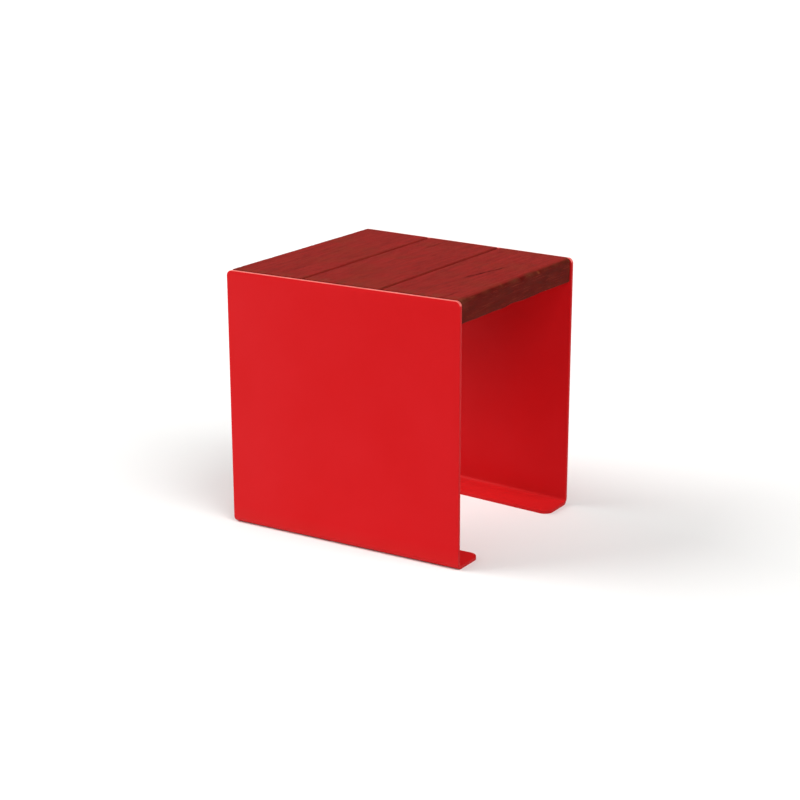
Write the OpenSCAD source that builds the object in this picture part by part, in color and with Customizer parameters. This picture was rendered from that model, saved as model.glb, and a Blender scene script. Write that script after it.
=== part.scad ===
// Street seat for one person: two folded steel side panels with three timber planks between them.
// In plan the seat is a shallow wedge, the same on both sides of the XZ plane. The panels' side
// edges and the ends of their feet lie in two planes square to X, so seats can stand side by side.
// +X runs across the planks towards the narrow end, +Y from the front panel to the rear panel and
// +Z is up. The origin is on the ground, under the middle of the seat.

/* [Seat] */
// Height of the panels' top edges above the ground
seat_h = 450; // [380:5:560]
// Width of the seat across the planks
seat_w = 445; // [360:5:560]
// Depth over both panels at the wide end
depth_wide = 415; // [340:5:520]
// Depth over both panels at the narrow end
depth_narrow = 375; // [310:5:520]

/* [Side panels] */
// Thickness of the steel plate
panel_t = 6; // [4:0.5:10]
// Inside radius of the fold between a panel and its foot
fold_r = 6; // [2:0.5:10]
// Length of the foot, from the panel's outer face to the free edge
foot_d = 70; // [55:1:110]
// Radius of the foot's two free corners
foot_corner_r = 16; // [5:1:25]
// Radius of the panel's two top corners
top_corner_r = 9; // [3:1:20]

/* [Floor bolts] */
// Diameter of the hole in each foot
anchor_hole_d = 14; // [10:1:20]
// Distance from the outer face to the hole, along the depth
anchor_inset = 40; // [30:1:45]

/* [Planks] */
// Thickness of the planks
plank_t = 43; // [28:1:50]
// Drainage gap between two planks
plank_gap = 5; // [3:0.5:12]
// Distance that the outer planks stop short of the panels' side edges
plank_inset = 2; // [0:0.5:10]
// Gap between the ends of the planks and the panels
plank_end_gap = 1.5; // [0.5:0.5:5]
// Height of the planks' tops above the panels' top edges
plank_rise = 2; // [0:0.5:5]
// Radius of the seat's two outer top edges
seat_edge_r = 7; // [3:1:15]
// Radius of the other long edges of the planks
plank_edge_r = 2; // [1:0.5:5]

/* [Support rails] */
// Width of the flat bar
rail_w = 50; // [45:1:70]
// Thickness of the flat bar
rail_t = 6; // [5:0.5:10]
// Distance that a rail stops short of the panel's side edges
rail_inset = 22; // [15:1:28]
// Leg of the fillet welds under a rail
weld_leg = 4; // [3:0.5:6]
// Length of one weld
weld_len = 50; // [30:1:60]
// Distance from the end of a rail to its first weld
weld_end = 10; // [5:1:20]

/* [Coach screws] */
// Diameter of the shank
screw_d = 8; // [6:0.5:10]
// Length under the head
screw_len = 35; // [25:1:38]
// Length of the point
screw_point = 6; // [3:1:8]
// Head size across the flats
head_af = 13; // [10:1:17]
// Height of the head
head_h = 5.5; // [4:0.5:7]
// Distance from the panel's inner face to the row of screws
screw_row = 32; // [24:1:34]
// Distance from a plank's long edges to its screws
screw_edge = 36.5; // [25:0.5:45]
// Outer diameter of the washers
washer_d = 16; // [15:0.5:18]
// Thickness of the washers
washer_t = 1.6; // [1:0.1:2.5]

/* [Clearances] */
// Added to the shank's diameter for the holes in the rails
rail_hole_clearance = 1; // [0.5:0.1:2]
// Added to the shank's diameter for the holes in the washers
washer_hole_clearance = 0.4; // [0.2:0.1:1]
// Added to the shank's diameter for the cut thread in the wood
thread_clearance = 0.1; // [0.05:0.05:0.3]
// Depth of the hole in the wood past the screw's point
hole_end_clearance = 1; // [0.5:0.5:2]

/* [Hidden] */
$fn = 96;
// How far a cutting shape reaches past what it cuts
over = 1;
panel_red = "#d41a20";
stained_wood = "#8f2d2a";
zinc = "#b4b8bc";

// Each panel is turned by this much from square to the planks.
taper = atan((depth_wide - depth_narrow) / 2 / seat_w);
depth_mid = (depth_wide + depth_narrow) / 2;
fold_outer_r = fold_r + panel_t;

plank_count = 3;
plank_w = (seat_w - 2 * plank_inset - (plank_count - 1) * plank_gap) / plank_count;
plank_pitch = plank_w + plank_gap;
plank_z = seat_h + plank_rise - plank_t;
// Positions of the planks across the seat, counted in pitches from the middle
left = -1;
middle = 0;
right = 1;

rail_len = seat_w - 2 * rail_inset;
rail_z = plank_z - rail_t;
weld_count = 4;
weld_pitch = (rail_len - 2 * weld_end - weld_len) / (weld_count - 1);

washer_z = rail_z - washer_t;
screw_y = panel_t + screw_row;
screw_in_wood = screw_len - washer_t - rail_t;

// Half the seat's depth at x, measured to a plane that lies d inside the panels' outer faces
function half_depth(x, d) = depth_mid / 2 - x * tan(taper) - d / cos(taper);

// Place along a panel of a point that lies y inside its outer face and at x across the seat
function along_panel(x, y) = (x + y * sin(taper)) / cos(taper);

function unit(v) = v / norm(v);

// Places of one plank's two screws along a panel
function screw_places(position) = [
    for (side = [-1, 1])
        along_panel(position * plank_pitch + side * (plank_w / 2 - screw_edge), screw_y)
];

// A panel's own frame has x along the panel, y inwards from its outer face and z up.
module on_front() {
    translate([0, -depth_mid / 2, 0])
        rotate(taper)
            children();
}

module on_rear() {
    mirror([0, 1, 0])
        on_front()
            children();
}

module on_both_panels() {
    on_front()
        children();
    on_rear()
        children();
}

// What is left to remove from a convex corner to round it. Its two sides leave it along the unit
// vectors before and after, and inward leads from it to the middle of the arc.
module corner_waste(corner, before, after, r) {
    half_angle = acos(before * after) / 2;
    inward = unit(before + after) * r / sin(half_angle);
    side = r / tan(half_angle);
    translate(corner + inward)
        difference() {
            scale((r + over) / r)
                polygon([[0, 0], before * side - inward, -inward, after * side - inward]);
            circle(r);
        }
}

// Convex polygon with its corners rounded, each by its own radius
module eased_polygon(points, radii) {
    count = len(points);
    difference() {
        polygon(points);
        for (i = [0 : count - 1])
            if (radii[i] > 0)
                corner_waste(
                    points[i],
                    unit(points[(i + count - 1) % count] - points[i]),
                    unit(points[(i + 1) % count] - points[i]),
                    radii[i]
                );
    }
}

// Section through a panel: the plate, the fold and the foot, with y to the right and z up
module panel_section() {
    translate([0, fold_outer_r])
        square([panel_t, seat_h - fold_outer_r]);
    translate([fold_outer_r, 0])
        square([foot_d - fold_outer_r, panel_t]);
    intersection() {
        square(fold_outer_r);
        translate([fold_outer_r, fold_outer_r])
            difference() {
                circle(fold_outer_r);
                circle(fold_r);
            }
    }
}

module side_panel() {
    x_high = seat_w / 2;
    x_low = -x_high;
    color(panel_red)
        difference() {
            intersection() {
                on_front()
                    rotate([90, 0, 90])
                        linear_extrude(2 * seat_w, center = true)
                            panel_section();
                rotate([90, 0, 0])
                    linear_extrude(depth_wide)
                        eased_polygon(
                            [[x_low, 0], [x_high, 0], [x_high, seat_h], [x_low, seat_h]],
                            [0, 0, top_corner_r, top_corner_r]
                        );
                translate([0, 0, -over])
                    linear_extrude(seat_h + 2 * over)
                        eased_polygon(
                            [
                                [x_low, -half_depth(x_low, -over)],
                                [x_high, -half_depth(x_high, -over)],
                                [x_high, -half_depth(x_high, foot_d)],
                                [x_low, -half_depth(x_low, foot_d)]
                            ],
                            [0, 0, foot_corner_r, foot_corner_r]
                        );
            }
            translate([0, anchor_inset - depth_mid / 2, -over])
                cylinder(d = anchor_hole_d, h = panel_t + 2 * over);
        }
}

// One plank. Its ends are cut parallel to the panels, and its screw holes are blind.
module plank(position, left_r, right_r) {
    x_mid = position * plank_pitch;
    x_low = x_mid - plank_w / 2;
    x_high = x_mid + plank_w / 2;
    z_high = plank_z + plank_t;
    end = panel_t + plank_end_gap;
    color(stained_wood)
        difference() {
            intersection() {
                translate([0, depth_wide / 2, 0])
                    rotate([90, 0, 0])
                        linear_extrude(depth_wide)
                            eased_polygon(
                                [[x_low, plank_z], [x_high, plank_z], [x_high, z_high], [x_low, z_high]],
                                [plank_edge_r, plank_edge_r, right_r, left_r]
                            );
                translate([0, 0, plank_z - over])
                    linear_extrude(plank_t + 2 * over)
                        polygon([
                            [x_low, -half_depth(x_low, end)],
                            [x_high, -half_depth(x_high, end)],
                            [x_high, half_depth(x_high, end)],
                            [x_low, half_depth(x_low, end)]
                        ]);
            }
            on_both_panels()
                for (x = screw_places(position))
                    translate([x, screw_y, plank_z - over])
                        cylinder(
                            d = screw_d + thread_clearance,
                            h = screw_in_wood + hole_end_clearance + over
                        );
        }
}

// Flat bar that is welded to a panel's inner face and carries the ends of the planks
module support_rail() {
    color(panel_red)
        difference() {
            translate([-rail_len / 2, panel_t, rail_z])
                cube([rail_len, rail_w, rail_t]);
            for (position = [left, middle, right])
                for (x = screw_places(position))
                    translate([x, screw_y, rail_z - over])
                        cylinder(d = screw_d + rail_hole_clearance, h = rail_t + 2 * over);
        }
}

// Fillet welds in the corner under a rail
module weld_beads() {
    color(panel_red)
        for (i = [0 : weld_count - 1])
            translate([-rail_len / 2 + weld_end + i * weld_pitch, panel_t, rail_z])
                rotate([90, 0, 90])
                    linear_extrude(weld_len)
                        polygon([[0, 0], [0, -weld_leg], [weld_leg, 0]]);
}

// Hexagon-head coach screw that points up, with the underside of its head at z = 0
module coach_screw() {
    corner_d = head_af / cos(30);
    rotate_extrude()
        polygon([
            [0, -over],
            [screw_d / 2, -over],
            [screw_d / 2, screw_len - screw_point],
            [0, screw_len]
        ]);
    intersection() {
        translate([0, 0, -head_h])
            cylinder(d = corner_d, h = head_h, $fn = 6);
        rotate_extrude()
            polygon([
                [0, -head_h],
                [head_af / 2, -head_h],
                [corner_d / 2 + over, over - head_h],
                [corner_d / 2 + over, 0],
                [0, 0]
            ]);
    }
}

module coach_screws(position) {
    color(zinc)
        on_both_panels()
            for (x = screw_places(position))
                translate([x, screw_y, washer_z])
                    coach_screw();
}

module washers(position) {
    color(zinc)
        on_both_panels()
            for (x = screw_places(position))
                translate([x, screw_y, washer_z])
                    linear_extrude(washer_t)
                        difference() {
                            circle(d = washer_d);
                            circle(d = screw_d + washer_hole_clearance);
                        }
}

module side_panel_front() {
    side_panel();
}

module side_panel_rear() {
    mirror([0, 1, 0])
        side_panel();
}

module plank_left() {
    plank(left, seat_edge_r, plank_edge_r);
}

module plank_middle() {
    plank(middle, plank_edge_r, plank_edge_r);
}

module plank_right() {
    plank(right, plank_edge_r, seat_edge_r);
}

module support_rail_front() {
    on_front()
        support_rail();
}

module support_rail_rear() {
    on_rear()
        support_rail();
}

module weld_beads_front() {
    on_front()
        weld_beads();
}

module weld_beads_rear() {
    on_rear()
        weld_beads();
}

side_panel_front();
side_panel_rear();
plank_left();
plank_middle();
plank_right();
support_rail_front();
support_rail_rear();
weld_beads_front();
weld_beads_rear();
coach_screws(left);  // coach_screws_left
coach_screws(middle);  // coach_screws_middle
coach_screws(right);  // coach_screws_right
washers(left);  // washers_left
washers(middle);  // washers_middle
washers(right);  // washers_right
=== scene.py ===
# A street seat for one person: two folded steel side panels with three stained planks between them.
import math

import bmesh
import bpy
from mathutils import Matrix, Vector, noise


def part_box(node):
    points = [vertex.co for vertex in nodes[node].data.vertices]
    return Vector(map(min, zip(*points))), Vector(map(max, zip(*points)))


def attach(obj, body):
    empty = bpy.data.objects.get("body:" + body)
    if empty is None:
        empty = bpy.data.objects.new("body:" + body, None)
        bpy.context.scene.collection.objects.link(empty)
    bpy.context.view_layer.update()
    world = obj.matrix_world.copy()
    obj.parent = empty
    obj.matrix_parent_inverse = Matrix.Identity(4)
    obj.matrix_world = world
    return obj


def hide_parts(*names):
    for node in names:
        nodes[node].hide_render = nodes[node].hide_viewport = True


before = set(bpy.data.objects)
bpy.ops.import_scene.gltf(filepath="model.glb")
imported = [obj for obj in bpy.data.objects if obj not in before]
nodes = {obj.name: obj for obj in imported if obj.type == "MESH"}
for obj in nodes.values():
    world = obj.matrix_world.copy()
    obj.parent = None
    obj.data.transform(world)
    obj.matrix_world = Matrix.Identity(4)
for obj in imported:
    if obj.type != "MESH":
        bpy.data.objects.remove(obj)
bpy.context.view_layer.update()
mm = 0.001
cadMerge = 0.01 * mm  # points of a CAD mesh that are nearer than this are one point
grownMerge = 0.002 * mm
print("frame loaded:", len(nodes), "nodes")


# An sRGB hex colour, turned to linear
def linearColour(hexCode):
    channels = [int(hexCode[i:i + 2], 16) / 255 for i in (1, 3, 5)]
    return [c / 12.92 if c <= 0.04045 else ((c + 0.055) / 1.055) ** 2.4 for c in channels] + [1.0]


# Adds a node, sets its properties and its inputs, and gives back one output. An input that is
# given a socket is linked to it.
def addNode(tree, kind, settings=None, inputs=None, output=0):
    node = tree.nodes.new(kind)
    for name, value in (settings or {}).items():
        setattr(node, name, value)
    for key, value in (inputs or {}).items():
        if isinstance(value, bpy.types.NodeSocket):
            tree.links.new(value, node.inputs[key])
        else:
            node.inputs[key].default_value = value
    return node.outputs[output] if node.outputs else None


def newMaterial(name):
    material = bpy.data.materials.new(name)
    material.use_nodes = True
    tree = material.node_tree
    tree.nodes.clear()
    surface = addNode(tree, "ShaderNodeBsdfPrincipled")
    addNode(tree, "ShaderNodeOutputMaterial", None, {"Surface": surface})
    return material, tree, surface.node


# From 0 to 1, with a level start and end
def smoothstep(t):
    t = min(1.0, max(0.0, t))
    return t * t * (3 - 2 * t)


def linkMesh(name, mesh, material):
    obj = bpy.data.objects.new(name, mesh)
    bpy.context.scene.collection.objects.link(obj)
    mesh.materials.clear()
    mesh.materials.append(material)
    return obj


# A piece stands for one CAD node, on the seat's only body
def declare(piece, node):
    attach(piece, "root")
    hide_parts(node)


# The separate solids of a CAD node, each as a list of points, from the left to the right and, where
# two stand in line, from the front to the rear
def solidsOf(node):
    shape = bmesh.new()
    shape.from_mesh(nodes[node].data)
    bmesh.ops.remove_doubles(shape, verts=shape.verts, dist=cadMerge)
    left = set(shape.verts)
    solids = []
    while left:
        reached = [left.pop()]
        solid = []
        while reached:
            vert = reached.pop()
            solid.append(vert.co.copy())
            for edge in vert.link_edges:
                other = edge.other_vert(vert)
                if other in left:
                    left.remove(other)
                    reached.append(other)
        solids.append(solid)
    shape.free()
    return sorted(solids, key=lambda solid: (round(min(co.x for co in solid), 5), min(co.y for co in solid)))


# Makes a plain mesh that is shaded smooth across edges flatter than an angle in degrees
def finishMesh(shape, name, smoothBelow=35):
    bmesh.ops.triangulate(shape, faces=[f for f in shape.faces if len(f.verts) > 4])
    mesh = bpy.data.meshes.new(name)
    shape.to_mesh(mesh)
    shape.free()
    mesh.shade_smooth()
    mesh.set_sharp_from_angle(angle=math.radians(smoothBelow))
    return mesh


# Angles in degrees and lengths in metres, apart from the lens and its sensor, in mm
cameraFacts = {
    "azimuth": 33.22, "elevation": 17.03, "roll": -0.11, "lens": 79.53,
    "distance": 3.0730, "right": -0.00998, "up": -0.01824, "target": (0, 0, 0.225),
    "sensorWidth": 36, "clipEnd": 200,
}


def makeCamera(facts):
    azimuth, elevation, roll = (math.radians(facts[k]) for k in ("azimuth", "elevation", "roll"))
    back = Vector((
        math.sin(azimuth) * math.cos(elevation), -math.cos(azimuth) * math.cos(elevation),
        math.sin(elevation)))
    level = Vector((math.cos(azimuth), math.sin(azimuth), 0))
    above = back.cross(level)
    right = level * math.cos(roll) + above * math.sin(roll)
    up = above * math.cos(roll) - level * math.sin(roll)
    data = bpy.data.cameras.new("camera")
    data.lens = facts["lens"]
    data.sensor_width = facts["sensorWidth"]
    data.clip_end = facts["clipEnd"]
    camera = bpy.data.objects.new("camera", data)
    bpy.context.scene.collection.objects.link(camera)
    place = Vector(facts["target"]) + right * facts["right"] + up * facts["up"]
    place += back * facts["distance"]
    turn = Matrix((right, up, back)).transposed()
    camera.matrix_world = Matrix.Translation(place) @ turn.to_4x4()
    bpy.context.scene.camera = camera


makeCamera(cameraFacts)

# A white floor between two large softboxes, under a sky that is white at the horizon. Each lamp
# has its heading (0 is in front, 90 on the right), height, strength and width, with its angles in
# degrees.
studioFacts = {
    "floorColour": "#f2f2f0", "floorRadius": 60.0, "floorSides": 96, "floorRoughness": 0.9,
    "skyColour": "#fafbff",
    "horizonStrength": 0.8, "skyStrength": 0.13, "horizonHeight": 0.3,
    "lamps": {
        "leftSoftbox": (-68, 34, 2.75, 50),
        "rightSoftbox": (76, 46, 2.2, 50),
        "overheadSoftbox": (0, 84, 0.5, 60),
    },
}


def makeStudio(facts):
    scene = bpy.context.scene
    world = bpy.data.worlds.new("whiteTent")
    world.use_nodes = True
    background = world.node_tree.nodes["Background"]
    background.inputs["Color"].default_value = linearColour(facts["skyColour"])
    direction = addNode(world.node_tree, "ShaderNodeTexCoord", output="Generated")
    height = addNode(world.node_tree, "ShaderNodeSeparateXYZ", None, {0: direction}, "Z")
    strength = addNode(world.node_tree, "ShaderNodeMapRange", {"interpolation_type": "SMOOTHSTEP"}, {
        "Value": height, "From Min": 0.0, "From Max": facts["horizonHeight"],
        "To Min": facts["horizonStrength"], "To Max": facts["skyStrength"]})
    world.node_tree.links.new(strength, background.inputs["Strength"])
    scene.world = world
    scene.view_settings.view_transform = "Standard"
    for name, (heading, height, strength, width) in facts["lamps"].items():
        heading, height = math.radians(heading), math.radians(height)
        towards = Vector((
            math.sin(heading) * math.cos(height), -math.cos(heading) * math.cos(height),
            math.sin(height)))
        data = bpy.data.lights.new(name, "SUN")
        data.energy = strength
        data.angle = math.radians(width)
        lamp = bpy.data.objects.new(name, data)
        scene.collection.objects.link(lamp)
        lamp.matrix_world = towards.to_track_quat("Z", "Y").to_matrix().to_4x4()
    material, _, shader = newMaterial("paleStudioFloor")
    shader.inputs["Base Color"].default_value = linearColour(facts["floorColour"])
    shader.inputs["Roughness"].default_value = facts["floorRoughness"]
    shape = bmesh.new()
    bmesh.ops.create_circle(
        shape, cap_ends=True, segments=facts["floorSides"], radius=facts["floorRadius"])
    mesh = bpy.data.meshes.new("studioFloor")
    shape.to_mesh(mesh)
    shape.free()
    linkMesh("studioFloor", mesh, material)


makeStudio(studioFacts)
print("camera and studio ready")

# Polyester powder coat, sprayed on and baked: an even saturated red with a low sheen and a faint
# orange peel, paler along the top edges where it is partly worn and partly a painted highlight,
# with painted shade on the cut edges that face sideways, and dusty near the ground.
# Sizes are in mm.
coatFacts = {
    # the pale pink is worn coat and a painted highlight on the top edges, and the dark red after it is
    # painted shade on the cut edges that face sideways
    "red": "#c80f14", "faded": "#ca1319", "rubAndHighlight": "#f0827a", "paintedSideShade": "#b40d13", "dust": "#9c5a50",
    "patchSize": 110, "peelSize": 2.6, "peelDepth": 0.012, "rubSize": 30, "speckSize": 4,
    "scuffWidth": 2.0, "scuffLength": 50, "scuffTurn": (0.3, 0.5, 0.2), "scuffRoughness": 0.10,
    "dustHeight": 35, "dustAmount": 0.12, "roughness": 0.46, "smoother": 0.03, "rougher": 0.04,
    "sheen": 0.08, "ior": 1.5,
}


def powderCoatedSteel(facts):
    material, tree, shader = newMaterial("powderCoatedSteel")
    place = addNode(tree, "ShaderNodeTexCoord", output="Object")
    height = addNode(tree, "ShaderNodeSeparateXYZ", None, {0: place}, "Z")
    # paler top edges: partly worn coat, partly a painted highlight
    topEdge = addNode(tree, "ShaderNodeAttribute", {"attribute_name": "topEdge"}, output="Fac")
    # painted shade: a darker red on the cut edges that face sideways
    paintedSideShade = addNode(tree, "ShaderNodeAttribute", {"attribute_name": "paintedSideShade"}, output="Fac")
    scuffPlace = addNode(tree, "ShaderNodeMapping", None, {
        "Vector": place, "Rotation": facts["scuffTurn"],
        "Scale": (1, 1, facts["scuffWidth"] / facts["scuffLength"])})
    # each pattern has its coordinates, its size, and the detail and roughness of its noise
    noises = {
        "patches": (place, facts["patchSize"], 3.0, 0.5),
        "rub": (place, facts["rubSize"], 6.0, 0.6),
        "specks": (place, facts["speckSize"], 5.0, 0.7),
        "scuffs": (scuffPlace, facts["scuffWidth"], 2.0, 0.5),
        "peel": (place, facts["peelSize"], 2.0, 0.4),
    }
    for name, (where, size, detail, roughness) in noises.items():
        noises[name] = addNode(tree, "ShaderNodeTexNoise", None, {
            "Vector": where, "Scale": 1 / (size * mm), "Detail": detail, "Roughness": roughness})
    # each mask runs from one amount to another while its pattern goes from low to high
    masks = {
        "faded": (noises["patches"], 0.3, 0.7, 0.0, 1.0),
        # the pale top edges, worn coat and painted highlight, never go below 0.6 of their colour
        "rubAndHighlight": (noises["rub"], 0.35, 0.65, 0.6, 1.0),
        "low": (height, 0.0, facts["dustHeight"] * mm, facts["dustAmount"], 0.0),
        "gloss": (
            noises["rub"], 0.3, 0.7, facts["roughness"] - facts["smoother"],
            facts["roughness"] + facts["rougher"]),
        "scuffed": (noises["scuffs"], 0.66, 0.74, 0.0, facts["scuffRoughness"]),
    }
    for name, (pattern, low, high, first, last) in masks.items():
        masks[name] = addNode(tree, "ShaderNodeMapRange", None, {
            "Value": pattern, "From Min": low, "From Max": high, "To Min": first, "To Max": last})
    # pale is the painted highlight and worn coat along the top edges
    pale = addNode(tree, "ShaderNodeMath", {"operation": "MULTIPLY"}, {0: topEdge, 1: masks["rubAndHighlight"]})
    dirt = addNode(tree, "ShaderNodeMath", {"operation": "MULTIPLY"}, {0: masks["low"], 1: noises["specks"]})
    colour = addNode(tree, "ShaderNodeRGB")
    colour.default_value = linearColour(facts["red"])
    # these layers include painted shade on the sideways cut edges and a painted highlight, with wear, on the
    # top edges
    layers = ((masks["faded"], "faded"), (paintedSideShade, "paintedSideShade"), (pale, "rubAndHighlight"), (dirt, "dust"))
    for mask, name in layers:
        colour = addNode(tree, "ShaderNodeMix", {"data_type": "RGBA"}, {
            0: mask, 6: colour, 7: linearColour(facts[name])}, 2)
    tree.links.new(colour, shader.inputs["Base Color"])
    # dull scuffs, and dust that takes the sheen away
    rough = masks["gloss"]
    for mask in (masks["scuffed"], dirt):
        rough = addNode(tree, "ShaderNodeMath", {"operation": "ADD"}, {0: rough, 1: mask})
    tree.links.new(rough, shader.inputs["Roughness"])
    bump = addNode(tree, "ShaderNodeBump", None, {
        "Strength": 1.0, "Distance": facts["peelDepth"] * mm, "Height": noises["peel"]})
    tree.links.new(bump, shader.inputs["Normal"])
    shader.inputs["IOR"].default_value = facts["ior"]
    shader.inputs["Specular IOR Level"].default_value = facts["sheen"]
    return material


coat = powderCoatedSteel(coatFacts)

# arris is the rounding that deburring left on the cut edges, in mm
panelFacts = {"arris": 0.32, "segments": 3}
railFacts = {"arris": 0.5, "segments": 2}
# Faces that lie within the first angle are one flat, and edges past the second are cut edges, in
# degrees. Level cut edges above a height, in metres, are paler: partly worn by hands and clothes,
# partly a painted highlight.
steelFacts = {"flatWithin": 0.3, "cutPast": 50, "rubAndHighlightAbove": 0.44}


# A CAD copy with its loose triangles merged into whole faces and its cut edges rounded
def makeSteelwork(node, name, facts):
    shape = bmesh.new()
    shape.from_mesh(nodes[node].data)
    bmesh.ops.remove_doubles(shape, verts=shape.verts, dist=cadMerge)
    bmesh.ops.dissolve_limit(
        shape, angle_limit=math.radians(steelFacts["flatWithin"]), verts=shape.verts, edges=shape.edges)
    # mark for the worn coat and painted highlight on the top edges
    topEdge = shape.faces.layers.float.new("topEdge")
    # mark for the painted shade on faces that look sideways
    paintedSideShade = shape.faces.layers.float.new("paintedSideShade")
    cutPast = math.radians(steelFacts["cutPast"])
    sharp = [e for e in shape.edges if e.is_manifold and e.calc_face_angle() > cutPast]
    bmesh.ops.bevel(
        shape, geom=sharp, offset=facts["arris"] * mm, segments=facts["segments"], profile=0.5,
        affect="EDGES", clamp_overlap=True)
    shape.normal_update()
    # the pale mark, worn coat with a painted highlight, is 1 on faces that look up, the painted shade
    # is 1 on faces that look sideways, and both fade with their tilt
    for face in shape.faces:
        if face.calc_center_median().z > steelFacts["rubAndHighlightAbove"]:
            face[topEdge] = smoothstep(2.5 * face.normal.z)
        face[paintedSideShade] = smoothstep(2 * abs(face.normal.x) - 0.5)
    piece = linkMesh(name, finishMesh(shape, name), coat)
    declare(piece, node)


makeSteelwork("side_panel_front", "sidePanelFront", panelFacts)
makeSteelwork("side_panel_rear", "sidePanelRear", panelFacts)
makeSteelwork("support_rail_front", "supportRailFront", railFacts)
makeSteelwork("support_rail_rear", "supportRailRear", railFacts)
print("side panels and rails ready")


def newGeometryTree(name, labels):
    tree = bpy.data.node_groups.new(name, "GeometryNodeTree")
    tree.interface.new_socket("Geometry", in_out="OUTPUT", socket_type="NodeSocketGeometry")
    tree.interface.new_socket("Places", in_out="INPUT", socket_type="NodeSocketGeometry")
    for label in labels:
        tree.interface.new_socket(label, in_out="INPUT", socket_type="NodeSocketFloat")
    tree.interface.new_socket("Finish", in_out="INPUT", socket_type="NodeSocketMaterial")
    return tree, addNode(tree, "NodeGroupInput").node.outputs


# Turns copies into real meshes and gives them their finish
def closeGeometryTree(tree, given, shape):
    real = addNode(tree, "GeometryNodeRealizeInstances", None, {0: shape})
    finished = addNode(tree, "GeometryNodeSetMaterial", None, {
        "Geometry": real, "Material": given["Finish"]})
    addNode(tree, "NodeGroupOutput", None, {0: finished})


# Runs a tree on a set of points and lines, and keeps the result as a plain mesh
def growPiece(name, points, lines, tree, sizes, finish):
    mesh = bpy.data.meshes.new(name + "Places")
    mesh.from_pydata(points, lines, [])
    carrier = bpy.data.objects.new(name + "Places", mesh)
    bpy.context.scene.collection.objects.link(carrier)
    modifier = carrier.modifiers.new("grow", "NODES")
    modifier.node_group = tree
    for item in tree.interface.items_tree:
        if item.in_out == "INPUT" and item.name in sizes:
            modifier[item.identifier] = sizes[item.name] * mm
        elif item.in_out == "INPUT" and item.name == "Finish":
            modifier[item.identifier] = finish
    carrier.update_tag()
    seen = carrier.evaluated_get(bpy.context.evaluated_depsgraph_get())
    shape = bmesh.new()
    shape.from_mesh(bpy.data.meshes.new_from_object(seen))
    bpy.data.objects.remove(carrier)
    bmesh.ops.remove_doubles(shape, verts=shape.verts, dist=grownMerge)
    bmesh.ops.recalc_face_normals(shape, faces=shape.faces)
    return linkMesh(name, finishMesh(shape, name, smoothBelow=30), finish)


# Short fillet welds under the rails, with the ripples of the welder's passes under the coat, in mm.
# Their ends shrink to a share of the leg, and their round faces are pressed more than halfway flat.
weldFacts = {"Leg": 4.0, "Ripple step": 1.6, "Ripple depth": 0.22, "End taper": 3.0, "Point step": 0.27}
weldShape = {"endShare": 0.45, "pressed": 0.82, "arcPoints": 12}


# Each line runs along the corner that its weld fills, with the weld on its right and below it
def weldTree():
    tree, given = newGeometryTree("rippledFillet", list(weldFacts))
    path = addNode(tree, "GeometryNodeMeshToCurve", None, {"Mesh": given["Places"]})
    path = addNode(tree, "GeometryNodeResampleCurve", {"mode": "LENGTH"}, {
        "Curve": path, "Length": given["Point step"]})
    path = addNode(tree, "GeometryNodeSetCurveNormal", {"mode": "Z_UP"}, {"Curve": path})
    along = addNode(tree, "GeometryNodeSplineParameter", output="Length")
    whole = addNode(tree, "GeometryNodeSplineLength", output="Length")
    back = addNode(tree, "ShaderNodeMath", {"operation": "SUBTRACT"}, {0: whole, 1: along})
    near = addNode(tree, "ShaderNodeMath", {"operation": "MINIMUM"}, {0: along, 1: back})
    taper = addNode(tree, "ShaderNodeMapRange", {"interpolation_type": "SMOOTHSTEP"}, {
        "Value": near, "From Min": 0.0, "From Max": given["End taper"],
        "To Min": weldShape["endShare"], "To Max": 1.0})
    waves = addNode(tree, "ShaderNodeMath", {"operation": "DIVIDE"}, {0: along, 1: given["Ripple step"]})
    fold = addNode(tree, "ShaderNodeMath", {"operation": "PINGPONG"}, {0: waves, 1: 0.5})
    sunk = addNode(tree, "ShaderNodeMath", {"operation": "MULTIPLY"}, {0: fold, 1: given["Ripple depth"]})
    left = addNode(tree, "ShaderNodeMath", {"operation": "SUBTRACT"}, {0: given["Leg"], 1: sunk})
    radius = addNode(tree, "ShaderNodeMath", {"operation": "MULTIPLY"}, {0: left, 1: taper})
    section = addNode(tree, "GeometryNodeCurveArc", {"mode": "RADIUS"}, {
        "Resolution": weldShape["arcPoints"], "Radius": 1.0, "Start Angle": 0.0,
        "Sweep Angle": math.pi / 2, "Connect Center": True})
    # presses the quarter round towards the flat face between its legs
    at = addNode(tree, "GeometryNodeInputPosition")
    axes = addNode(tree, "ShaderNodeSeparateXYZ", None, {0: at}).node.outputs
    across = addNode(tree, "ShaderNodeMath", {"operation": "ADD"}, {0: axes["X"], 1: axes["Y"]})
    bulge = addNode(tree, "ShaderNodeMapRange", None, {
        "Value": across, "From Min": 1.0, "From Max": math.sqrt(2),
        "To Min": 1.0, "To Max": weldShape["pressed"]})
    pressed = addNode(tree, "ShaderNodeVectorMath", {"operation": "SCALE"}, {0: at, "Scale": bulge})
    section = addNode(tree, "GeometryNodeSetPosition", None, {"Geometry": section, "Position": pressed})
    bead = addNode(tree, "GeometryNodeCurveToMesh", None, {
        "Curve": path, "Profile Curve": section, "Scale": radius, "Fill Caps": True})
    closeGeometryTree(tree, given, bead)
    return tree


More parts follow.
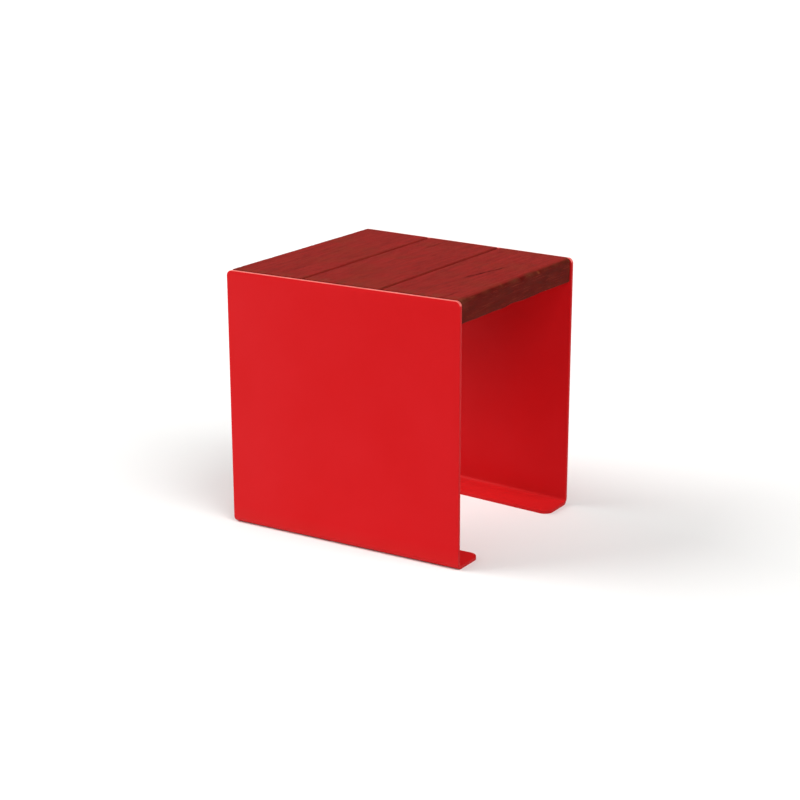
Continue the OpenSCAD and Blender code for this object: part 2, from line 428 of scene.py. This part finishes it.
# A CAD weld is a prism, and the corner of its outer top edge at each end is where its line starts
# and stops
def makeWelds(node, name, tree, facts):
    points = []
    lines = []
    for solid in solidsOf(node):
        ordered = sorted(solid, key=lambda co: co.x)
        ends = []
        for corners in (ordered[:3], ordered[-3:]):
            upper = sorted(corners, key=lambda co: co.z)[1:]
            ends.append(max(upper, key=lambda co: abs(co.y)))
        if ends[0].y < 0:
            ends.reverse()
        lines.append((len(points), len(points) + 1))
        points.extend(ends)
    piece = growPiece(name, points, lines, tree, facts, coat)
    declare(piece, node)


filletTree = weldTree()
makeWelds("weld_beads_front", "weldBeadsFront", filletTree, weldFacts)
makeWelds("weld_beads_rear", "weldBeadsRear", filletTree, weldFacts)
print("welds ready")

# Planed softwood under a thick dark red stain that has weathered: matt, streaked along the grain,
# browner where it is worn through and nearly black in its cracks, with painted shade darkening the
# outer side faces. A pattern has its width and its length along the grain, in mm.
timberFacts = {
    "stain": "#90221e", "deepStain": "#701714", "brownStain": "#7c2a1a", "worn": "#6a3622",
    # the first colour below is painted shade, darkening the outer side faces
    "paintedWoodSideShade": "#520802", "mossy": "#460f04", "crack": "#260a08", "scratch": "#8a3422",
    "chip": "#7a3a1e", "endGrain": "#4c1410",
    "streak": (4.0, 150), "fibre": (0.7, 25), "pore": (0.5, 8), "mottle": (9, 30),
    "scratchMark": (0.9, 34), "blotch": (80, 80), "detail": 3.0, "boardShift": (0.37, 0.61, 0.23),
    "ringShade": 0.22, "ringRelief": 0.3, "relief": 0.25, "roughness": 0.8, "roughnessSpread": 0.06,
    "sheen": 0.08, "ior": 1.45,
}


def stainedTimber(facts):
    material, tree, shader = newMaterial("weatheredStainedTimber")
    marks = {}
    for name in ("ringPhase", "wear", "crack", "chip", "endGrain", "edge", "board"):
        marks[name] = addNode(tree, "ShaderNodeAttribute", {"attribute_name": name}, output="Fac")
    # every board starts somewhere else in the patterns
    shift = addNode(tree, "ShaderNodeVectorMath", {"operation": "SCALE"}, {
        0: facts["boardShift"], "Scale": marks["board"]})
    place = addNode(tree, "ShaderNodeTexCoord", output="Object")
    place = addNode(tree, "ShaderNodeVectorMath", {"operation": "ADD"}, {0: place, 1: shift})
    patterns = {}
    for name in ("streak", "fibre", "pore", "mottle", "scratchMark", "blotch"):
        width, length = facts[name]
        drawn = addNode(tree, "ShaderNodeVectorMath", {"operation": "MULTIPLY"}, {
            0: place, 1: (1, width / length, 1)})
        patterns[name] = addNode(tree, "ShaderNodeTexNoise", None, {
            "Vector": drawn, "Scale": 1 / (width * mm), "Detail": facts["detail"]})
    # growth rings: wide pale early wood, then a thin dense line
    turn = addNode(tree, "ShaderNodeMath", {"operation": "FRACT"}, {0: marks["ringPhase"]})
    # each mask runs from one amount to another while its pattern goes from low to high
    masks = {
        "early": (turn, 0.45, 0.93, 0.0, 1.0),
        "late": (turn, 0.93, 1.0, 1.0, 0.0),
        "streaks": (patterns["streak"], 0.35, 0.70, 0.0, 0.45),
        "mottles": (patterns["mottle"], 0.45, 0.72, 0.0, 0.40),
        "blotches": (patterns["blotch"], 0.45, 0.75, 0.0, 0.5),
        "flecks": (patterns["fibre"], 0.40, 0.60, 0.4, 1.0),
        "pores": (patterns["pore"], 0.60, 0.70, 0.0, 0.5),
        "ends": (marks["endGrain"], 0.0, 1.0, 0.0, 0.8),
        # painted shade on the outer side faces
        "edges": (marks["edge"], 0.0, 1.0, 0.0, 0.95),
        "moss": (patterns["mottle"], 0.45, 0.70, 0.0, 0.5),
        "scratches": (patterns["scratchMark"], 0.60, 0.70, 0.0, 0.45),
        "rough": (
            patterns["fibre"], 0.3, 0.7, facts["roughness"] - facts["roughnessSpread"],
            facts["roughness"] + facts["roughnessSpread"]),
    }
    for name, (pattern, low, high, first, last) in masks.items():
        masks[name] = addNode(tree, "ShaderNodeMapRange", {"interpolation_type": "SMOOTHSTEP"}, {
            "Value": pattern, "From Min": low, "From Max": high, "To Min": first, "To Max": last})
    ring = addNode(tree, "ShaderNodeMath", {"operation": "MULTIPLY"}, {
        0: masks["early"], 1: masks["late"]})
    ringShade = addNode(tree, "ShaderNodeMath", {"operation": "MULTIPLY"}, {0: ring, 1: facts["ringShade"]})
    mossy = addNode(tree, "ShaderNodeMath", {"operation": "MULTIPLY"}, {0: marks["edge"], 1: masks["moss"]})
    scratched = addNode(tree, "ShaderNodeMath", {"operation": "MULTIPLY"}, {
        0: marks["edge"], 1: masks["scratches"]})
    worn = addNode(tree, "ShaderNodeMath", {"operation": "MULTIPLY"}, {0: marks["wear"], 1: masks["flecks"]})
    layers = (
        (masks["streaks"], "deepStain"), (ringShade, "deepStain"), (masks["blotches"], "brownStain"),
        (masks["mottles"], "deepStain"), (masks["edges"], "paintedWoodSideShade"), (mossy, "mossy"),
        (worn, "worn"), (scratched, "scratch"), (masks["pores"], "crack"),
        (masks["ends"], "endGrain"), (marks["chip"], "chip"), (marks["crack"], "crack"))
    colour = addNode(tree, "ShaderNodeRGB")
    colour.default_value = linearColour(facts["stain"])
    for mask, name in layers:
        colour = addNode(tree, "ShaderNodeMix", {"data_type": "RGBA"}, {
            0: mask, 6: colour, 7: linearColour(facts[name])}, 2)
    tree.links.new(colour, shader.inputs["Base Color"])
    tree.links.new(masks["rough"], shader.inputs["Roughness"])
    # fibres stand up, hard rings too, and pores are sunk
    raised = addNode(tree, "ShaderNodeMath", {"operation": "MULTIPLY_ADD"}, {
        0: ring, 1: facts["ringRelief"], 2: patterns["fibre"]})
    relief = addNode(tree, "ShaderNodeMath", {"operation": "SUBTRACT"}, {0: raised, 1: masks["pores"]})
    bump = addNode(tree, "ShaderNodeBump", None, {
        "Strength": 1.0, "Distance": facts["relief"] * mm, "Height": relief})
    tree.links.new(bump, shader.inputs["Normal"])
    shader.inputs["IOR"].default_value = facts["ior"]
    shader.inputs["Specular IOR Level"].default_value = facts["sheen"]
    return material


timber = stainedTimber(timberFacts)

# Lengths are in mm, with a width across the grain before its length along it, and strengths and
# shares go from 0 to 1. raisedGrain and hollows are how deep the weather has gone, and fibreSize and
# hollowSize how large its marks are. frontWear and rearWear are how far wear reaches from that end
# of the boards, and its strength there.
plankFacts = {
    "outerRadius": 8.5, "innerRadius": 2.0, "endRadius": 1.2, "endSteps": 4, "endRings": (0.8, 0.45, 0.12),
    "topStep": 1.4, "crackStep": 0.4, "crackMargin": 3, "sideStep": 1.8, "bottomStep": 4.0, "rowStep": 2.6,
    "stepsPerMm": 1.3, "fewestSteps": 4,
    "raisedGrain": 0.16, "fibreSize": (3, 110), "hollows": 0.35, "hollowSize": (12, 200),
    "arrisWear": 0.7, "knockSize": (30, 11), "knocksFrom": 0.12, "wane": 1.6, "waneSize": (90, 38),
    "waneOnTop": 0.25, "sawnWave": 3.4, "sawnWaveLength": 42, "sawnReach": 18,
    "frontWear": (28, 0.55), "rearWear": (14, 0.4), "arrisRub": 0.45, "faceRub": 0.12, "rubSize": (15, 22),
    "chipsFrom": 0.38, "chipGain": 6, "chipMost": 0.7, "endGrainDrop": 3, "endGrainFade": 4,
    "ringSpacing": 6.5, "ringWobble": 1.5, "wobbleSize": (40, 120), "pithLean": (0.03, 0.05),
    "pithDrift": 7, "pithDriftLength": 160, "knotSize": (9, 26), "knotPush": 16,
    "haloWidth": 2.8, "haloShade": 0.5, "crackWander": ((2.6, 17, 0.5), (0.9, 4, 9.5)),
    "crackEnds": 0.25, "crackPatch": 9, "crackFull": 0.8,
}
# A crack runs along the grain: across is its place from the board's middle, middle and length are
# along the board, and lean is how far it drifts across. A knot is (across, along), and the pith is
# where the growth rings have their middle.
boards = {
    "plank_left": {
        "name": "plankLeft", "seed": 1.0, "outer": "left", "pith": (40, -95), "knots": [(-38, 95)],
        "cracks": [{"across": 22, "middle": -150, "length": 90, "lean": 2, "width": 0.5, "depth": 1.2}],
    },
    "plank_middle": {
        "name": "plankMiddle", "seed": 4.0, "outer": None, "pith": (-20, -130), "knots": [],
        "cracks": [{"across": -30, "middle": 140, "length": 120, "lean": -3, "width": 0.5, "depth": 1.2}],
    },
    "plank_right": {
        "name": "plankRight", "seed": 7.0, "outer": "right", "pith": (-35, -80), "knots": [(-16, 62)],
        "cracks": [
            {"across": 6, "middle": 4, "length": 125, "lean": 22, "width": 1.7, "depth": 2.0},
            {"across": 40, "middle": -165, "length": 60, "lean": 1, "width": 0.6, "depth": 1.4},
        ],
    },
}


# Points round a board's section, in mm: (x, z, normal x, normal z, corner), with corner 1 on an arris
def plankOutline(low, high, leftRadius, rightRadius, facts, fine):
    points = []
    lowRadius = facts["innerRadius"]

    def straight(a, b, step, normal):
        run = math.dist(a, b)
        t = 0.0
        while t < run:
            x = a[0] + (b[0] - a[0]) * t / run
            z = a[1] + (b[1] - a[1]) * t / run
            points.append((x, z, *normal, 0.0))
            t += facts["crackStep"] if normal[1] > 0.5 and fine[0] < x < fine[1] else step

    def corner(cx, cz, radius, start):
        steps = max(facts["fewestSteps"], round(radius * facts["stepsPerMm"]))
        for i in range(steps):
            turn = math.radians(start - 90 * i / steps)
            nx, nz = math.cos(turn), math.sin(turn)
            points.append((cx + radius * nx, cz + radius * nz, nx, nz, math.sin(math.pi * i / steps)))

    (x0, z0), (x1, z1) = low, high
    corner(x0 + leftRadius, z1 - leftRadius, leftRadius, 180)
    straight((x0 + leftRadius, z1), (x1 - rightRadius, z1), facts["topStep"], (0, 1))
    corner(x1 - rightRadius, z1 - rightRadius, rightRadius, 90)
    straight((x1, z1 - rightRadius), (x1, z0 + lowRadius), facts["sideStep"], (1, 0))
    corner(x1 - lowRadius, z0 + lowRadius, lowRadius, 0)
    straight((x1 - lowRadius, z0), (x0 + lowRadius, z0), facts["bottomStep"], (0, -1))
    corner(x0 + lowRadius, z0 + lowRadius, lowRadius, -90)
    straight((x0, z0 + lowRadius), (x0, z1 - leftRadius), facts["sideStep"], (-1, 0))
    return points


# How deep a crack is at a point, and how much dirt has stained the wood round it
def crackAt(x, y, board, middle, facts):
    depth = 0.0
    stain = 0.0
    for crack in board["cracks"]:
        t = (y - crack["middle"]) / crack["length"]
        if abs(t) < 0.5:
            line = middle + crack["across"] + crack["lean"] * t
            wander, jitter = (
                reach * noise.noise((board["seed"], y / length, row))
                for reach, length, row in facts["crackWander"])
            line += wander + jitter
            patch = 0.6 + 0.8 * abs(noise.noise((y / facts["crackPatch"], crack["across"], 3)))
            fade = smoothstep((0.5 - abs(t)) / facts["crackEnds"]) * patch
            halfWidth = crack["width"] * (0.45 + 0.55 * fade)
            depth = max(depth, crack["depth"] * fade * max(0.0, 1 - abs(x - line) / halfWidth))
            halo = math.exp(-((x - line) / (facts["haloWidth"] * crack["width"] / 2)) ** 2)
            stain = max(stain, facts["haloShade"] * fade * halo)
    return depth, stain


# How many growth rings lie between the pith and a point
def ringPhase(x, y, z, board, middle, top, facts):
    seed = board["seed"]
    acrossLean, upLean = facts["pithLean"]
    pithX = middle + board["pith"][0] + acrossLean * y
    pithX += facts["pithDrift"] * noise.noise((seed, y / facts["pithDriftLength"], 1))
    pithZ = top + board["pith"][1] + upLean * y
    reach = math.hypot(x - pithX, z - pithZ)
    width, length = facts["wobbleSize"]
    reach += facts["ringWobble"] * noise.noise((x / width, y / length, z / width + seed))
    for across, along in board["knots"]:
        width, length = facts["knotSize"]
        away = math.hypot((x - middle - across) / width, (y - along) / length)
        reach += facts["knotPush"] * math.exp(-away * away)
    return reach / facts["ringSpacing"]


# The rows of a board, each with its place from -1 to 1 between the arrises of the ends, and its
# turn round one
def plankRows(length, facts):
    steps = facts["endSteps"]
    turns = [math.radians(90 - 90 / steps * i) for i in range(steps)]
    count = int(length / facts["rowStep"])
    rows = [(-1, turn) for turn in turns]
    rows += [(2 * i / count - 1, 0.0) for i in range(count + 1)]
    rows += [(1, turn) for turn in reversed(turns)]
    return rows


# The part of the top that needs fine steps, because a wide crack crosses it
def crackedPart(board, middle, facts):
    wide = [c for c in board["cracks"] if c["width"] > 1]
    margin = facts["crackMargin"]
    first = min((middle + c["across"] - abs(c["lean"]) / 2 - margin for c in wide), default=0)
    last = max((middle + c["across"] + abs(c["lean"]) / 2 + margin for c in wide), default=0)
    return first, last


# How far uneven sawing lifts the lower outer arris
def sawnRise(x, y, z, low, high, board, facts):
    if not board["outer"]:
        return 0.0
    inward = x - low.x if board["outer"] == "left" else high.x - x
    lowShare = smoothstep(1.4 - 2 * (z - low.z) / (high.z - low.z))
    lowShare *= smoothstep(1 - inward / facts["sawnReach"])
    wave = 0.5 + 0.9 * noise.noise((board["seed"] + 2.5, y / facts["sawnWaveLength"], 0.5))
    return facts["sawnWave"] * wave * lowShare


# A band of faces between two closed rings of the same number of points
def joinRings(shape, first, second):
    for i in range(len(first)):
        k = (i + 1) % len(first)
        shape.faces.new((first[i], first[k], second[k], second[i]))


# Closes an end ring by ring towards the middle, so that its growth rings show
def closeEnd(shape, ring, layers, board, middle, top, facts):
    centre = sum((v.co for v in ring), Vector()) / len(ring)
    outer = ring
    for share in facts["endRings"]:
        inner = []
        for vert in ring:
            copy = shape.verts.new(centre.lerp(vert.co, share))
            for layer in layers.values():
                copy[layer] = vert[layer]
            x, y, z = copy.co / mm
            copy[layers["ringPhase"]] = ringPhase(x, y, z, board, middle, top, facts)
            inner.append(copy)
        joinRings(shape, outer, inner)
        outer = inner
    shape.faces.new(outer)


# A board is one outline swept from end to end, cut askew at both, and weathered point by point.
# slope is how much shorter it gets at each end for each mm to the right.
def makePlank(node, board, facts, slope):
    low, high = (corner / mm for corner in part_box(node))
    seed = board["seed"]
    middle = (low.x + high.x) / 2
    leftRadius = facts["outerRadius"] if board["outer"] == "left" else facts["innerRadius"]
    rightRadius = facts["outerRadius"] if board["outer"] == "right" else facts["innerRadius"]
    outerSide = {"left": -1, "right": 1, None: 0}[board["outer"]]
    fine = crackedPart(board, middle, facts)
    outline = plankOutline((low.x, low.z), (high.x, high.z), leftRadius, rightRadius, facts, fine)
    endRadius = facts["endRadius"]
    (fibreX, fibreY), (hollowX, hollowY) = facts["fibreSize"], facts["hollowSize"]
    (knockX, knockY), (waneX, waneY) = facts["knockSize"], facts["waneSize"]
    rubX, rubY = facts["rubSize"]
    shape = bmesh.new()
    layers = {
        name: shape.verts.layers.float.new(name)
        for name in ("ringPhase", "wear", "crack", "chip", "endGrain", "edge", "board")}
    rings = []
    for place, turn in plankRows(2 * high.y - 2 * endRadius, facts):
        ring = []
        for x, z, nx, nz, cornerShare in outline:
            reach = high.y - slope * (x - low.x) - endRadius
            y = place * (reach + endRadius * math.sin(turn))
            depth = endRadius * (1 - math.cos(turn))
            # fibres that stand proud, and shallow hollows between them
            fibre = noise.noise((x / fibreX + seed, y / fibreY, z / fibreX))
            depth += facts["raisedGrain"] * (0.5 + 0.5 * fibre)
            hollow = noise.noise((x / hollowX, y / hollowY + seed, z / hollowX))
            depth += facts["hollows"] * (0.5 + 0.5 * hollow)
            # knocked and worn arrises, more so underneath
            knocks = noise.noise((x / knockX + seed, y / knockY, z / knockX)) - facts["knocksFrom"]
            knocks = max(0.0, knocks)
            depth += cornerShare * facts["arrisWear"] * (0.3 + 2.2 * knocks)
            waning = max(0.0, noise.noise((seed * 3 + x / waneX, y / waneY, 5)))
            depth += cornerShare * facts["wane"] * waning * (1.0 if nz < 0 else facts["waneOnTop"])
            crack, dirt = crackAt(x, y, board, middle, facts) if nz > 0.9 else (0.0, 0.0)
            rise = sawnRise(x, y, z, low, high, board, facts)
            vert = shape.verts.new(Vector((x - nx * depth, y, z - nz * (depth + crack) + rise)) * mm)
            wear = facts["arrisRub"] * cornerShare + facts["faceRub"]
            for (wornLength, strength), fromEnd in (
                    (facts["frontWear"], reach + y), (facts["rearWear"], reach - y)):
                wear += strength * smoothstep(1 - fromEnd / wornLength)
            wear *= 0.5 + 0.9 * noise.noise((x / rubX, y / rubY, z / rubX + seed))
            vert[layers["wear"]] = min(1.0, max(0.0, wear))
            vert[layers["crack"]] = min(1.0, max(dirt, crack / facts["crackFull"]))
            chip = max(0.0, knocks - facts["chipsFrom"]) * cornerShare * facts["chipGain"]
            vert[layers["chip"]] = min(facts["chipMost"], chip)
            below = (high.z - z - facts["endGrainDrop"]) / facts["endGrainFade"]
            vert[layers["endGrain"]] = smoothstep(turn / (math.pi / 2) * 1.4) * smoothstep(below)
            vert[layers["ringPhase"]] = ringPhase(x, y, z, board, middle, high.z, facts)
            # edge is 1 on the outer side faces, which take the painted shade, the moss and the scratches
            vert[layers["edge"]] = smoothstep(1.4 * outerSide * nx - 0.3)
            vert[layers["board"]] = seed
            ring.append(vert)
        rings.append(ring)
    for first, second in zip(rings, rings[1:]):
        joinRings(shape, first, second)
    for ring in (rings[0], rings[-1]):
        closeEnd(shape, ring, layers, board, middle, high.z, facts)
    bmesh.ops.recalc_face_normals(shape, faces=shape.faces)
    piece = linkMesh(board["name"], finishMesh(shape, board["name"], smoothBelow=40), timber)
    declare(piece, node)


leftLow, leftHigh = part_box("plank_left")
rightLow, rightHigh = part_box("plank_right")
plankSlope = (leftHigh.y - rightHigh.y) / (rightLow.x - leftLow.x)
for node, board in boards.items():
    makePlank(node, board, plankFacts, plankSlope)
print("planks ready")

# Bright zinc plating, a little dulled by the weather: a cool grey metal with a cloudy sheen
zincFacts = {
    "bright": "#c3c6c9", "dull": "#9fa3a6", "cloudSize": 3.0, "grainSize": 0.4, "grainDepth": 0.01,
    "roughness": 0.34, "smoother": 0.06, "rougher": 0.12,
}


def zincPlatedSteel(facts):
    material, tree, shader = newMaterial("zincPlatedSteel")
    place = addNode(tree, "ShaderNodeTexCoord", output="Object")
    cloud = addNode(tree, "ShaderNodeTexNoise", None, {
        "Vector": place, "Scale": 1 / (facts["cloudSize"] * mm), "Detail": 4.0})
    colour = addNode(tree, "ShaderNodeMix", {"data_type": "RGBA"}, {
        0: cloud, 6: linearColour(facts["bright"]), 7: linearColour(facts["dull"])}, 2)
    tree.links.new(colour, shader.inputs["Base Color"])
    rough = addNode(tree, "ShaderNodeMapRange", None, {
        "Value": cloud, "From Min": 0.3, "From Max": 0.7,
        "To Min": facts["roughness"] - facts["smoother"], "To Max": facts["roughness"] + facts["rougher"]})
    tree.links.new(rough, shader.inputs["Roughness"])
    grain = addNode(tree, "ShaderNodeTexNoise", None, {
        "Vector": place, "Scale": 1 / (facts["grainSize"] * mm), "Detail": 2.0})
    bump = addNode(tree, "ShaderNodeBump", None, {
        "Strength": 1.0, "Distance": facts["grainDepth"] * mm, "Height": grain})
    tree.links.new(bump, shader.inputs["Normal"])
    shader.inputs["Metallic"].default_value = 1.0
    return material


zinc = zincPlatedSteel(zincFacts)

# Lengths in mm. Chamfer circle is the radius of the flat that the head's chamfer leaves on its outer
# face. In screwShape, chamferAngle is in degrees, root is the width of the flat at the bottom of the
# thread, as a share of its pitch, and tip is the radius of the point's end, as a share of the shank's.
screwFacts = {
    "Across flats": 13.0, "Chamfer circle": 6.1, "Shank radius": 4.0, "Core radius": 3.0,
    "Thread pitch": 3.6, "Plain shank": 9.0, "Point length": 6.0,
}
screwShape = {
    "chamferAngle": 60, "root": 0.36, "tip": 0.04,
    "headSides": 72, "headSteps": 12, "shankSides": 28, "shankSteps": 96,
}


# A hexagon head, a plain shank, a rolled thread and a point. The screw points up, and z = 0 is
# the seat of its head. Two unit cylinders are squeezed to the radius that each height needs.
def coachScrewTree():
    tree, given = newGeometryTree("coachScrew", list(screwFacts) + ["Head height", "Length"])
    at = addNode(tree, "GeometryNodeInputPosition")
    axes = addNode(tree, "ShaderNodeSeparateXYZ", None, {0: at}).node.outputs
    angle = addNode(tree, "ShaderNodeMath", {"operation": "ARCTAN2"}, {0: axes["Y"], 1: axes["X"]})
    # the head is the smaller of a hexagon and a chamfering cone
    sector = addNode(tree, "ShaderNodeMath", {"operation": "FLOORED_MODULO"}, {0: angle, 1: math.pi / 3})
    offFlat = addNode(tree, "ShaderNodeMath", {"operation": "SUBTRACT"}, {0: sector, 1: math.pi / 6})
    cosine = addNode(tree, "ShaderNodeMath", {"operation": "COSINE"}, {0: offFlat})
    halfFlats = addNode(tree, "ShaderNodeMath", {"operation": "MULTIPLY"}, {
        0: given["Across flats"], 1: 0.5})
    hexagon = addNode(tree, "ShaderNodeMath", {"operation": "DIVIDE"}, {0: halfFlats, 1: cosine})
    fromFace = addNode(tree, "ShaderNodeMath", {"operation": "MULTIPLY_ADD"}, {
        0: given["Head height"], 1: 0.5, 2: axes["Z"]})
    cone = addNode(tree, "ShaderNodeMath", {"operation": "MULTIPLY_ADD"}, {
        0: fromFace, 1: math.tan(math.radians(screwShape["chamferAngle"])), 2: given["Chamfer circle"]})
    headRadius = addNode(tree, "ShaderNodeMath", {"operation": "MINIMUM"}, {0: hexagon, 1: cone})
    # the shank is plain, then threaded, and its radius runs out over the point
    along = addNode(tree, "ShaderNodeMath", {"operation": "MULTIPLY_ADD"}, {
        0: given["Length"], 1: 0.5, 2: axes["Z"]})
    turns = addNode(tree, "ShaderNodeMath", {"operation": "DIVIDE"}, {0: along, 1: given["Thread pitch"]})
    helix = addNode(tree, "ShaderNodeMath", {"operation": "MULTIPLY_ADD"}, {
        0: angle, 1: -0.5 / math.pi, 2: turns})
    flank = addNode(tree, "ShaderNodeMath", {"operation": "PINGPONG"}, {0: helix, 1: 0.5})
    threaded = addNode(tree, "ShaderNodeMapRange", {"interpolation_type": "SMOOTHSTEP"}, {
        "Value": flank, "From Min": screwShape["root"] / 2, "From Max": 0.5,
        "To Min": given["Core radius"], "To Max": given["Shank radius"]})
    begun = addNode(tree, "ShaderNodeMath", {"operation": "GREATER_THAN"}, {
        0: along, 1: given["Plain shank"]})
    body = addNode(tree, "ShaderNodeMix", {"data_type": "FLOAT"}, {
        0: begun, 2: given["Shank radius"], 3: threaded})
    left = addNode(tree, "ShaderNodeMath", {"operation": "SUBTRACT"}, {0: given["Length"], 1: along})
    point = addNode(tree, "ShaderNodeMapRange", None, {
        "Value": left, "From Min": 0.0, "From Max": given["Point length"],
        "To Min": screwShape["tip"], "To Max": 1.0})
    shankRadius = addNode(tree, "ShaderNodeMath", {"operation": "MULTIPLY"}, {0: body, 1: point})
    # each cylinder has its depth, where its middle is as a share of that, and its radius
    cylinders = (
        (given["Head height"], -0.5, headRadius, screwShape["headSides"], screwShape["headSteps"]),
        (given["Length"], 0.5, shankRadius, screwShape["shankSides"], screwShape["shankSteps"]))
    parts = []
    for depth, rise, radius, around, steps in cylinders:
        blank = addNode(tree, "GeometryNodeMeshCylinder", None, {
            "Vertices": around, "Side Segments": steps, "Radius": 1.0, "Depth": depth})
        squeeze = addNode(tree, "ShaderNodeCombineXYZ", None, {"X": radius, "Y": radius, "Z": 1.0})
        squeezed = addNode(tree, "ShaderNodeVectorMath", {"operation": "MULTIPLY"}, {0: at, 1: squeeze})
        formed = addNode(tree, "GeometryNodeSetPosition", None, {
            "Geometry": blank, "Position": squeezed})
        lift = addNode(tree, "ShaderNodeMath", {"operation": "MULTIPLY"}, {0: depth, 1: rise})
        lifted = addNode(tree, "ShaderNodeCombineXYZ", None, {"Z": lift})
        parts.append(addNode(tree, "GeometryNodeTransform", None, {
            "Geometry": formed, "Translation": lifted}))
    screw = addNode(tree, "GeometryNodeJoinGeometry", None, {0: parts[0]})
    tree.links.new(parts[1], screw.node.inputs[0])
    copies = addNode(tree, "GeometryNodeInstanceOnPoints", None, {
        "Points": given["Places"], "Instance": screw})
    closeGeometryTree(tree, given, copies)
    return tree


# Lengths in mm
washerFacts = {"Outer radius": 8.0, "Inner radius": 4.2, "Rounding": 0.25}
washerShape = {"sides": 64, "roundingSteps": 3}


# A flat ring with its four arrises rounded, standing on z = 0
def washerTree():
    tree, given = newGeometryTree("flatWasher", list(washerFacts) + ["Thickness"])
    both = addNode(tree, "ShaderNodeMath", {"operation": "ADD"}, {
        0: given["Outer radius"], 1: given["Inner radius"]})
    middle = addNode(tree, "ShaderNodeMath", {"operation": "MULTIPLY"}, {0: both, 1: 0.5})
    width = addNode(tree, "ShaderNodeMath", {"operation": "SUBTRACT"}, {
        0: given["Outer radius"], 1: given["Inner radius"]})
    circle = addNode(tree, "GeometryNodeCurvePrimitiveCircle", None, {
        "Resolution": washerShape["sides"], "Radius": middle})
    section = addNode(tree, "GeometryNodeCurvePrimitiveQuadrilateral", None, {
        "Width": width, "Height": given["Thickness"]})
    eased = addNode(tree, "GeometryNodeFilletCurve", {"mode": "POLY"}, {
        "Curve": section, "Radius": given["Rounding"], "Count": washerShape["roundingSteps"]})
    ring = addNode(tree, "GeometryNodeCurveToMesh", None, {"Curve": circle, "Profile Curve": eased})
    lift = addNode(tree, "ShaderNodeMath", {"operation": "MULTIPLY"}, {0: given["Thickness"], 1: 0.5})
    lifted = addNode(tree, "ShaderNodeCombineXYZ", None, {"Z": lift})
    ring = addNode(tree, "GeometryNodeTransform", None, {
        "Geometry": ring, "Translation": lifted})
    copies = addNode(tree, "GeometryNodeInstanceOnPoints", None, {
        "Points": given["Places"], "Instance": ring})
    closeGeometryTree(tree, given, copies)
    return tree


# The middles of a node's separate solids, all at one height
def middlesOf(node, z):
    middles = []
    for solid in solidsOf(node):
        xs = [co.x for co in solid]
        ys = [co.y for co in solid]
        middles.append(((min(xs) + max(xs)) / 2, (min(ys) + max(ys)) / 2, z))
    return middles


screwTree = coachScrewTree()
ringTree = washerTree()
for side in ("left", "middle", "right"):
    screwNode, washerNode = "coach_screws_" + side, "washers_" + side
    screwLow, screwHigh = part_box(screwNode)
    washerLow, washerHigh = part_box(washerNode)
    sizes = dict(screwFacts)
    sizes["Head height"] = (washerLow.z - screwLow.z) / mm
    sizes["Length"] = (screwHigh.z - washerLow.z) / mm
    places = middlesOf(screwNode, washerLow.z)
    screws = growPiece("coachScrews" + side.title(), places, [], screwTree, sizes, zinc)
    declare(screws, screwNode)
    sizes = dict(washerFacts, Thickness=(washerHigh.z - washerLow.z) / mm)
    washers = growPiece("washers" + side.title(), places, [], ringTree, sizes, zinc)
    declare(washers, washerNode)
print("coach screws and washers ready")
